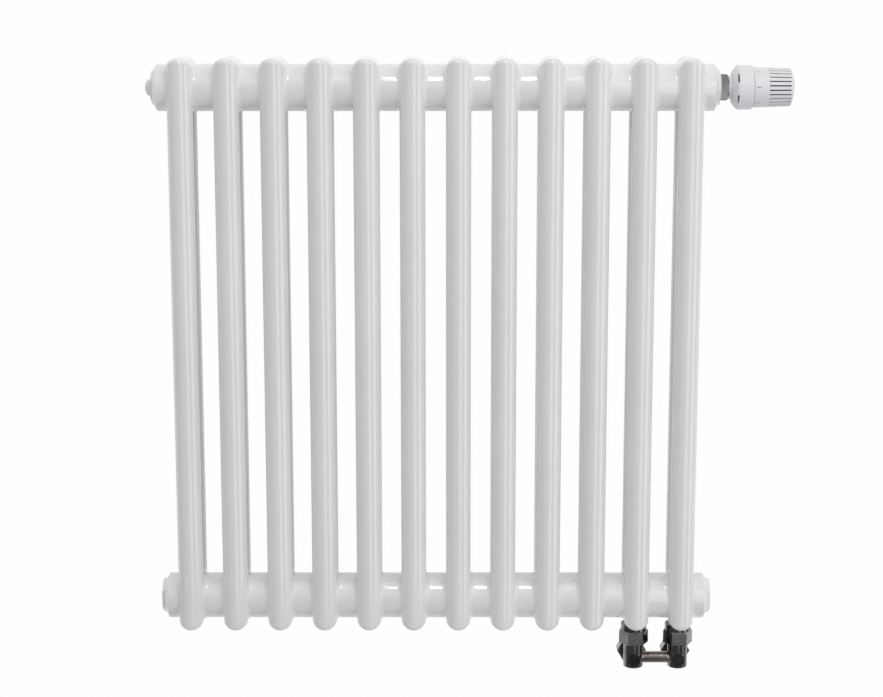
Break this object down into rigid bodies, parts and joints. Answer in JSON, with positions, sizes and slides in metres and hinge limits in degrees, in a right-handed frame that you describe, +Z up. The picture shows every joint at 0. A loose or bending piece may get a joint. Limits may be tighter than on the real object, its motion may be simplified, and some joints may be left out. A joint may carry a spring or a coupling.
{
  "type": "tubular column radiator with thermostatic valve",
  "caption": "White tubular column radiator, two tubes deep, with a thermostatic head on the upper header, an air vent, and a nickel shut-off block for two pipes underneath.",
  "frame": {"origin": "underside of the upper header, halfway along the sections and halfway between the front and rear tubes, where the wall hooks carry the radiator", "axes": "+X along the headers towards the thermostat, +Y towards the wall, +Z up"},
  "size_m": [0.6446, 0.0662, 0.6369],
  "materials": {
    "white_enamel": "glossy baked enamel on steel",
    "white_plastic": "satin white moulded plastic",
    "nickel_plate": "nickel plated brass, polished",
    "brass": "turned brass",
    "bare_steel": "bare steel, inside the headers",
    "spring_steel": "drawn spring wire",
    "seal_rubber": "matt black sealing rubber"
  },
  "bodies": {
    "radiator": {"upper_head_01": "white_enamel", "upper_head_02": "white_enamel", "upper_head_03": "white_enamel", "upper_head_04": "white_enamel", "upper_head_05": "white_enamel", "upper_head_06": "white_enamel", "upper_head_07": "white_enamel", "upper_head_08": "white_enamel", "upper_head_09": "white_enamel", "upper_head_10": "white_enamel", "upper_head_11": "white_enamel", "upper_head_12": "white_enamel", "lower_head_01": "white_enamel", "lower_head_02": "white_enamel", "lower_head_03": "white_enamel", "lower_head_04": "white_enamel", "lower_head_05": "white_enamel", "lower_head_06": "white_enamel", "lower_head_07": "white_enamel", "lower_head_08": "white_enamel", "lower_head_09": "white_enamel", "lower_head_10": "white_enamel", "lower_head_11": "white_enamel", "lower_head_12": "white_enamel", "columns_01": "white_enamel", "columns_02": "white_enamel", "columns_03": "white_enamel", "columns_04": "white_enamel", "columns_05": "white_enamel", "columns_06": "white_enamel", "columns_07": "white_enamel", "columns_08": "white_enamel", "columns_09": "white_enamel", "columns_10": "white_enamel", "columns_11": "white_enamel", "columns_12": "white_enamel", "end_collars": "white_enamel", "blind_plugs": "white_enamel", "vent_plug": "white_enamel", "valve_bush": "white_enamel", "thermostat_base": "white_plastic", "valve_insert": "nickel_plate", "shut_off_block": "nickel_plate", "union_nuts": "nickel_plate", "pipe_nuts": "nickel_plate", "stem_glands": "nickel_plate", "lower_nipples": "nickel_plate", "pipe_olives": "brass", "valve_seat_disc": "bare_steel", "lower_blank_disc": "bare_steel", "return_spring": "spring_steel", "flat_seals": "seal_rubber"},
    "dial": {"dial": "white_plastic", "overload_spring": "spring_steel"},
    "sensor": {"sensor_capsule": "brass"},
    "spindle": {"valve_spindle": "brass"},
    "vent_ring": {"vent_ring": "white_plastic"},
    "bleed_screw": {"bleed_screw": "brass"},
    "shut_off_left": {"shut_off_ball_left": "nickel_plate"},
    "shut_off_right": {"shut_off_ball_right": "nickel_plate"}
  },
  "joints": [
    {"name": "dial_turn", "type": "hinge", "parent": "radiator", "child": "dial", "pos_m": [0.335, 0, 0.0234], "axis": [1, 0, 0], "range_deg": [-150, 150]},
    {"name": "sensor_slide", "type": "slide", "parent": "radiator", "child": "sensor", "axis": [1, 0, 0], "range_m": [-0.00126, 0.00126], "deforming": ["overload_spring"]},
    {"name": "spindle_slide", "type": "slide", "parent": "radiator", "child": "spindle", "axis": [1, 0, 0], "range_m": [-0.00126, 0.00126], "deforming": ["return_spring"]},
    {"name": "vent_ring_turn", "type": "hinge", "parent": "radiator", "child": "vent_ring", "pos_m": [-0.286, 0, 0.0234], "axis": [-1, 0, 0], "range_deg": [-180, 180]},
    {"name": "bleed_screw_turn", "type": "hinge", "parent": "radiator", "child": "bleed_screw", "pos_m": [-0.286, 0, 0.0234], "axis": [-1, 0, 0], "range_deg": [0, 360]},
    {"name": "shut_off_left_turn", "type": "hinge", "parent": "radiator", "child": "shut_off_left", "pos_m": [0.2064, -0.012, -0.5702], "axis": [0, -1, 0], "range_deg": [-90, 0]},
    {"name": "shut_off_right_turn", "type": "hinge", "parent": "radiator", "child": "shut_off_right", "pos_m": [0.2524, -0.012, -0.5702], "axis": [0, -1, 0], "range_deg": [-90, 0]}
  ],
  "couplings": [
    {"joint": "sensor_slide", "follows": "dial_turn", "m_per_rad": 0.00047746},
    {"joint": "spindle_slide", "follows": "dial_turn", "m_per_rad": 0.00047746}
  ]
}
